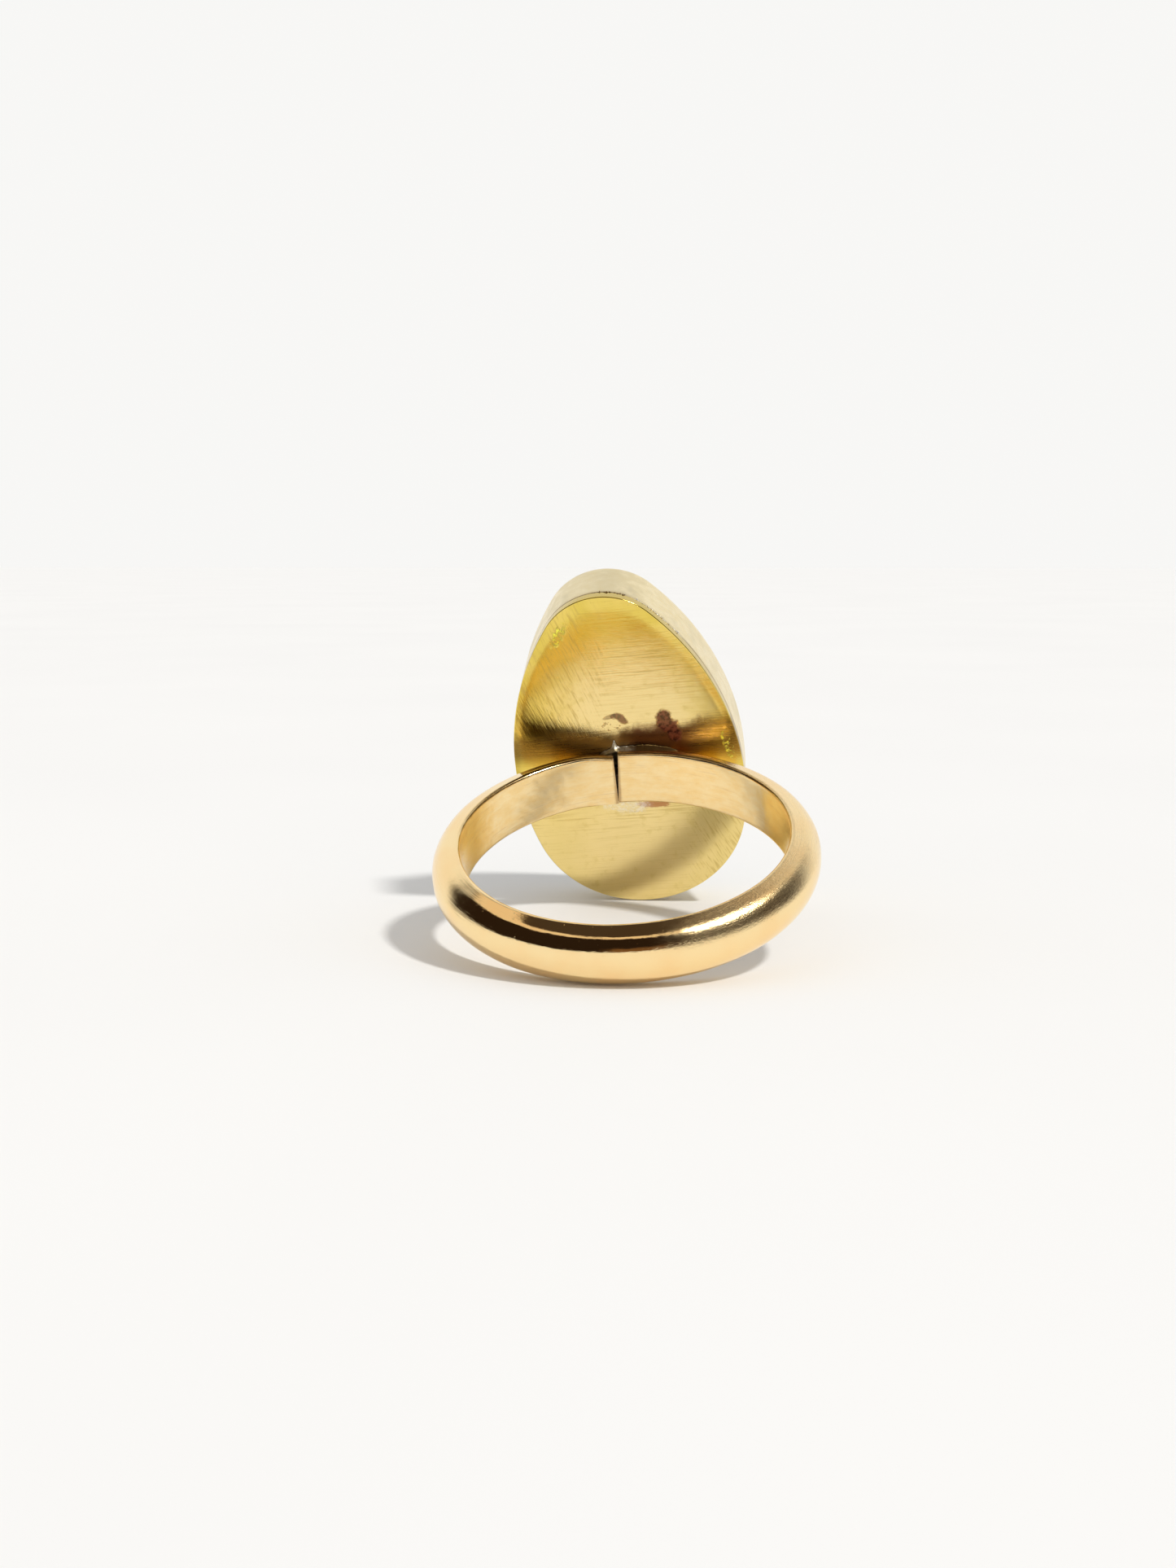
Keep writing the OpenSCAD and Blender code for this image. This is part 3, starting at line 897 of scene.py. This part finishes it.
def plateBrass():
    s = Shader("plateBrass", metal)
    ring = s.place(ringPose)
    x, y, z = s.parts(ring)
    blotch = s.cloud(ring, 0.5, 3.0)
    cloudy = s.cloud(ring, 1.7, 5.0, 0.62)
    wobble = s.cloud(ring, 2.6, 5.0, 0.7)
    specks = s.cloud(ring, 4.5, 4.0, 0.7)
    steep = strokes(s, x, z, 112, 0.13, 1.3, 1.0)
    flat = strokes(s, x, z, 3, 0.11, 3.0, 5.0)
    slant = strokes(s, x, z, 118, 0.12, 1.1, 9.0)
    onLeft = s.ease(x + (blotch - 0.5) * 3.0, -0.6, -3.0) * s.ease(z, 1.0, 3.0)
    onRight = s.ease(x + (blotch - 0.5) * 3.0, 2.2, 4.2) * s.ease(z, -0.5, -2.5)
    brush = flat + (steep - flat) * onLeft
    brush = brush + (slant - brush) * onRight
    # heavier strokes just under the shank and across the upper middle
    low = s.ease(z, -5.0, -2.6) * s.ease(z, -1.0, -1.8)
    high = s.ease(z, 4.0, 6.5) * s.ease(z, 9.0, 7.0)
    heavy = (low + high + onLeft + onRight).maths("MINIMUM", 1.0)
    deep = s.blend(s.ease(blotch, 0.3, 0.7), (0.87, 0.66, 0.16), (0.79, 0.60, 0.11))
    # paler round two places in the middle of the plate
    middle = (s.ease(s.distance(x, z, (0, 3.6)) + (cloudy - 0.5) * 2.0, 6.0, 2.2) * 0.9
              + s.ease(s.distance(x, z, (0, -5.4)) + (cloudy - 0.5) * 2.0, 5.0, 1.4) * 0.6)
    paleMiddle = middle.maths("MINIMUM", 1.0)
    palerFoot = s.blend(s.ease(z, -0.5, -3.0) * 0.55, deep, (0.96, 0.79, 0.42))
    yellow = s.blend(paleMiddle, palerFoot, (1.0, 0.81, 0.40))
    lines = s.ease(brush, 0.50, 0.64) * (0.14 + 0.42 * heavy)
    streaked = s.blend(lines, yellow, (0.60, 0.42, 0.11))
    mottled = s.blend(s.ease(cloudy, 0.55, 0.72) * 0.3, streaked, (0.68, 0.50, 0.15))
    # painted shade: a brown band along the shank stands in for the shank's dark reflection in the plate;
    # it is redder and higher on the right of the joint
    rightward = s.ease(x, -1.4, 0.4) * s.ease(x, 4.6, 2.4)
    atEnd = s.ease(x, 2.8, 4.2)
    shankShadeBand = (s.ease(z + (cloudy - 0.5) * 1.2 - rightward * 0.45 - atEnd * 0.9, 2.45, 1.75)
            * s.ease(z, 0.0, 1.0))
    # the painted shade's colour, darker and redder towards the right
    shadeTint = s.blend(rightward * 0.8, (0.24, 0.13, 0.03), (0.15, 0.045, 0.025))
    withPaintedShade = s.blend(shankShadeBand * (0.80 + 0.15 * rightward), mottled, shadeTint)
    # red copper oxide below the shank, burnt flux above it
    marks = {name: s.blots(x, z, wobble, blots) for name, blots in plateMarks.items()}
    reddened = s.blend(marks["red"], withPaintedShade, (0.42, 0.13, 0.05))
    trail = marks["trail"] * s.ease(specks, 0.54, 0.64)
    burnt = (marks["blob"] + marks["hook"] * 0.85 + trail * 0.45).maths("MINIMUM", 1.0)
    crust = s.blend(s.ease(specks, 0.38, 0.58), (0.045, 0.010, 0.008), (0.24, 0.075, 0.045))
    stained = s.blend(burnt * 0.92, reddened, crust)
    silver = marks["silver"] * s.ease(z, 0.0, -1.0)
    colour = s.blend(silver * (0.25 + 0.5 * s.ease(specks, 0.4, 0.65)), stained, (0.95, 0.91, 0.82))
    dotted = s.blend(s.ease(specks, 0.68, 0.74) * 0.5, colour, (0.42, 0.28, 0.09))
    filed = s.blend(s.ease(y, plateBack + 0.10, plateBack + 0.22) * 0.5, dotted, (0.46, 0.34, 0.13))
    roughness = (0.15 + (brush - 0.5) * 0.34 + burnt * 0.22 + silver * 0.14 + (cloudy - 0.5) * 0.12
                 + shankShadeBand * 0.12 + paleMiddle * 0.05)
    # two nicks near the edge: their bump is real, and their lemon-yellow colour is a painted glint
    nicksWithPaintedGlints = marks["nicksWithPaintedGlints"] * s.ease(specks, 0.50, 0.56)
    paintedGlints = s.blend(nicksWithPaintedGlints * 0.9, filed, (1.0, 0.97, 0.12))
    height = brush * (0.6 + heavy * 0.7) + burnt * specks * 3.0 + silver * 0.5 + nicksWithPaintedGlints * 1.5
    bumped = s.bump(height, 0.012, 0.9)
    return s.feed(Base_Color=paintedGlints, Roughness=roughness.maths("MAXIMUM", 0.08), Normal=bumped)


def bezelGold():
    s = Shader("bezelGold", metal)
    here = s.place(headPose)
    x, y, z = s.parts(here)
    around = y.maths("ARCTAN2", x)
    along = s.cloud(s.joined(around * 1.6, z * 22.0, 2.0), 1.0, 4.0, 0.6)
    upright = s.cloud(s.joined(around * 60.0, z * 1.1, 7.0), 1.0, 3.0, 0.6)
    blotch = s.cloud(here, 0.55, 3.0)
    cloudy = s.cloud(here, 1.8, 4.0, 0.6)
    satin = s.ease(blotch, 0.5, 0.72) + s.ease(y + (cloudy - 0.5) * 5.0, 8.4, 9.6) * 0.8
    pale = s.blend(s.ease(cloudy, 0.3, 0.7), (0.95, 0.81, 0.50), (0.90, 0.74, 0.40))
    greyed = s.blend(satin * 0.4, pale, (0.74, 0.67, 0.46))
    # painted shade: the wall is painted darker just above the plate, where the two meet
    shadeNearPlate = s.ease(z, -wallBase - 0.35, -wallBase)
    colour = s.blend(shadeNearPlate * 0.35, greyed, (0.62, 0.48, 0.22))
    roughness = 0.27 + satin * 0.10 + (along - 0.5) * 0.14
    bumped = s.bump(along * 0.5 + upright * 0.3, 0.005, 0.4)
    return s.feed(Base_Color=colour, Roughness=roughness.maths("MAXIMUM", 0.06), Normal=bumped)


def silverSolder():
    s = Shader("silverSolder", metal)
    here = s.place(ringPose)
    x, y, z = s.parts(here)
    grain = s.cloud(here, 9.0, 4.0, 0.7)
    cloudy = s.cloud(here, 2.2, 3.0)
    tone = s.blend(s.ease(cloudy, 0.35, 0.65), (0.93, 0.90, 0.80), (0.88, 0.78, 0.52))
    # painted shade: the solder is painted dark away from the joint and from the upper right of the head,
    # where the seams lie in shade; the upper right, on the side the light falls, stays silver
    bright = s.ease(abs(x + 0.9) + (cloudy - 0.5), 1.1, 0.5) * s.ease(abs(z), 4.0, 3.0)
    seam = s.ease(z - x * 0.4, 5.5, 7.0) * s.ease(x, -0.4, 0.6)
    jointAndLitSide = (bright + seam).maths("MINIMUM", 1.0)
    withPaintedShade = s.blend(jointAndLitSide, (0.24, 0.15, 0.05), tone)
    colour = s.blend(s.ease(grain, 0.50, 0.36) * 0.5, withPaintedShade, (0.30, 0.20, 0.10))
    height = grain + s.ease(s.pits(here, 7.0), 0.0, 0.25) * 0.5
    bumped = s.bump(height, 0.03, 0.9)
    return s.feed(Base_Color=colour, Roughness=0.34 + (grain - 0.4) * 0.4, Normal=bumped)


def burntSolder():
    s = Shader("burntSolder", {"Metallic": 0.6, "IOR": 1.5})
    here = s.place(ringPose)
    grain = s.cloud(here, 9.0, 4.0, 0.7)
    colour = s.blend(s.ease(grain, 0.4, 0.6), (0.02, 0.012, 0.008), (0.09, 0.055, 0.03))
    return s.feed(Base_Color=colour, Roughness=0.55 + (grain - 0.5) * 0.3, Normal=s.bump(grain, 0.03, 0.8))


def innerBrass():
    s = Shader("innerBrass", metal)
    here = s.place(headPose)
    x, y, z = s.parts(here)
    rolled = s.cloud(s.joined(x * 1.5, y * 1.5, z * 26.0), 1.0, 4.0, 0.6)
    scale = s.cloud(here, 1.4, 4.0, 0.65)
    tone = s.blend(s.ease(scale, 0.4, 0.68), (0.80, 0.65, 0.30), (0.36, 0.18, 0.09))
    bumped = s.bump(rolled, 0.01, 0.6)
    return s.feed(Base_Color=tone, Roughness=0.34 + (scale - 0.5) * 0.3, Normal=bumped)


def mossyStone():
    s = Shader("mossyStone", {"Metallic": 0.0, "IOR": 1.54, "Coat Weight": 0.35, "Coat Roughness": 0.03})
    here = s.place(headPose)
    bent = s.cloud(here, 0.22, 2.0)
    x, y, z = s.parts(here)
    flow = s.joined(x + bent * 5.0, y * 0.7 + bent * 3.0, z)
    body = s.cloud(flow, 0.22, 3.0, 0.5)
    clouds = s.cloud(flow, 0.55, 4.0, 0.55, 0.3)
    specks = s.cloud(here, 4.0, 3.0, 0.6)
    deep = s.blend(s.ease(body, 0.34, 0.64), (0.022, 0.075, 0.068), (0.12, 0.26, 0.24))
    milky = s.blend(s.ease(clouds, 0.50, 0.80) * 0.75, deep, (0.42, 0.54, 0.49))
    # a few thin veins, that come and go
    line = s.ease(abs(s.cloud(flow, 0.16, 2.0, 0.5, 0.6) - 0.5), 0.008, 0.0) * s.ease(clouds, 0.42, 0.58)
    veined = s.blend(line * 0.6, milky, (0.66, 0.70, 0.60))
    colour = s.blend(s.ease(specks, 0.64, 0.74) * 0.45, veined, (0.02, 0.045, 0.04))
    return s.feed(Base_Color=colour, Roughness=0.06 + (specks - 0.4).maths("MAXIMUM", 0.0) * 0.12)


def paleFloor():
    s = Shader("paleFloor", {"Roughness": 0.85, "IOR": 1.3})
    here = s.place(Matrix.Identity(4))
    tone = s.cloud(here, 0.02, 2.0)
    return s.feed(Base_Color=s.blend(tone, (0.86, 0.855, 0.85), (0.90, 0.895, 0.885)))


finishes = {"shank": shankGold(), "plate": plateBrass(), "bezel": bezelGold(), "solder": silverSolder(),
            "burnt": burntSolder(), "inner": innerBrass(), "stone": mossyStone()}
print("finishes:", ", ".join(finishes))

shankBand = makeShank(finishes["shank"])
plateDisc = makePlate(finishes["plate"])
bezelStrip, stripSeam, plateSeam = makeBezel(finishes["bezel"], finishes["solder"])
cabochon = makeStone(finishes["stone"])
headJoint = makeHeadJoint(finishes["solder"])
solderGrains = makeGrains(finishes["solder"])

for piece, node, slot in (
        (shankBand, "shank", "shank_metal"), (plateDisc, "back_plate", "plate_metal"),
        (bezelStrip, "bezel_wall", "bezel_metal"), (stripSeam, "bezel_seam_solder", "solder"),
        (plateSeam, "bezel_base_solder", "solder"), (cabochon, "stone", "stone"),
        (headJoint, "head_joint_solder", "solder")):
    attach(piece, "root")
    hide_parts(node)
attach(solderGrains, "root")

for node, finish in (("shank_seam_solder", "burnt"), ("bearer", "inner"), ("bearer_solder", "solder")):
    kept = nodes[node].data.materials
    kept.clear()
    kept.append(finishes[finish])
print("dressed the kept nodes")


studio = {
    "floorHalf": 2.5,                  # metres
    "sunElevation": 52, "sunAzimuth": -36, "sunDistance": 0.4,
    "sunAngle": 6.0, "sunStrength": 1.9, "sunColour": (1.0, 0.985, 0.95),
    "fill": 0.62,                      # even light on everything matt
    "backdrop": (0.93, 0.93, 0.925),
    "behind": (0.936, 0.931, 0.915),   # what the camera sees above the table
    "lean": -0.06,                     # the backdrop reaches a little further round on the left
    "high": (0.06, 0.042, 0.028),      # what polished metal sees overhead
    "front": (0.022, 0.013, 0.008),    # and in front, above the table
    "lowFront": (0.17, 0.088, 0.036),  # something brown that stands low in front
    # a pale strip high in front, that polished edges catch
    "strip": (0.80, 0.66, 0.50), "stripHeight": 0.86, "stripHalf": 0.05,
    # where those meet, as parts of a unit direction; each pair is where it starts and where it's full
    "behindFrom": (0.30, 0.50), "overheadFrom": (0.78, 0.93),
    "brownMiddle": 0.10, "brownSides": (0.34, 0.16), "brownTop": (0.24, 0.10),
}


def makeFloor():
    half = studio["floorHalf"]
    mesh = bpy.data.meshes.new("tableTop")
    z = cadBox[0][2]
    corners = [(-half, -half, z), (half, -half, z), (half, half, z), (-half, half, z)]
    mesh.from_pydata(corners, [], [(0, 1, 2, 3)])
    mesh.materials.append(paleFloor())
    floor = added("tableTop", mesh)


def makeWorld():
    world = bpy.data.worlds.new("studio")
    bpy.context.scene.world = world
    world.use_nodes = True
    s = ShaderMaths(world.node_tree)
    right, back, up = s.parts(s.node("ShaderNodeTexCoord", {}, {}, "Generated"))
    seenByMatt = s.node("ShaderNodeLightPath", {}, {}, "Is Diffuse Ray")
    seenByCamera = s.node("ShaderNodeLightPath", {}, {}, "Is Camera Ray")
    # polished metal sees a white backdrop behind, darkness in front and a dim room overhead
    behind = s.ease(right * studio["lean"] + back, *studio["behindFrom"])
    sideways = abs(right - studio["brownMiddle"])
    brown = s.ease(sideways, *studio["brownSides"]) * s.ease(up, *studio["brownTop"])
    front = s.blend(brown, studio["front"], studio["lowFront"])
    low = s.blend(behind, front, studio["backdrop"])
    room = s.blend(s.ease(up, *studio["overheadFrom"]), low, studio["high"])
    strip = up.maths("COMPARE", studio["stripHeight"], studio["stripHalf"])
    glossy = s.blend(strip * (1 - behind), room, studio["strip"])
    soft = s.blend(seenByMatt, glossy, (studio["fill"],) * 3)
    light = s.node("ShaderNodeBackground", {}, {"Color": s.blend(seenByCamera, soft, studio["behind"])})
    output = s.tree.nodes.new("ShaderNodeOutputWorld")
    s.tree.links.new(light.socket, output.inputs["Surface"])


def makeLight():
    light = bpy.data.lights.new("window", "SUN")
    light.energy = studio["sunStrength"]
    light.angle = math.radians(studio["sunAngle"])
    light.color = studio["sunColour"]
    lamp = added("window", light)
    up, around = math.radians(studio["sunElevation"]), math.radians(studio["sunAzimuth"])
    towards = Vector((math.cos(up) * math.cos(around), math.cos(up) * math.sin(around), math.sin(up)))
    lamp.rotation_euler = towards.to_track_quat("Z", "Y").to_euler()
    lamp.location = towards * studio["sunDistance"]


cameraSizes = {
    "lens": 40.4, "sensor": 36,
    "elevation": 7.47, "azimuth": 4.27,
    # metres
    "distance": 0.09292, "target": (-0.00203, 0.00036, 0.00384),
    "near": 0.001, "far": 20,
}


def makeCamera():
    sizes = cameraSizes
    up, around = math.radians(sizes["elevation"]), math.radians(sizes["azimuth"])
    forward = Vector((-math.sin(around) * math.cos(up), math.cos(around) * math.cos(up), -math.sin(up)))
    data = bpy.data.cameras.new("camera")
    data.sensor_width = sizes["sensor"]
    data.lens = sizes["lens"]
    data.clip_start = sizes["near"]
    data.clip_end = sizes["far"]
    camera = added("camera", data)
    camera.location = Vector(sizes["target"]) - forward * sizes["distance"]
    camera.rotation_euler = forward.to_track_quat("-Z", "Y").to_euler()
    bpy.context.scene.camera = camera


makeFloor()
makeWorld()
makeLight()
makeCamera()
bpy.context.scene.view_settings.view_transform = "Standard"
print("studio ready")
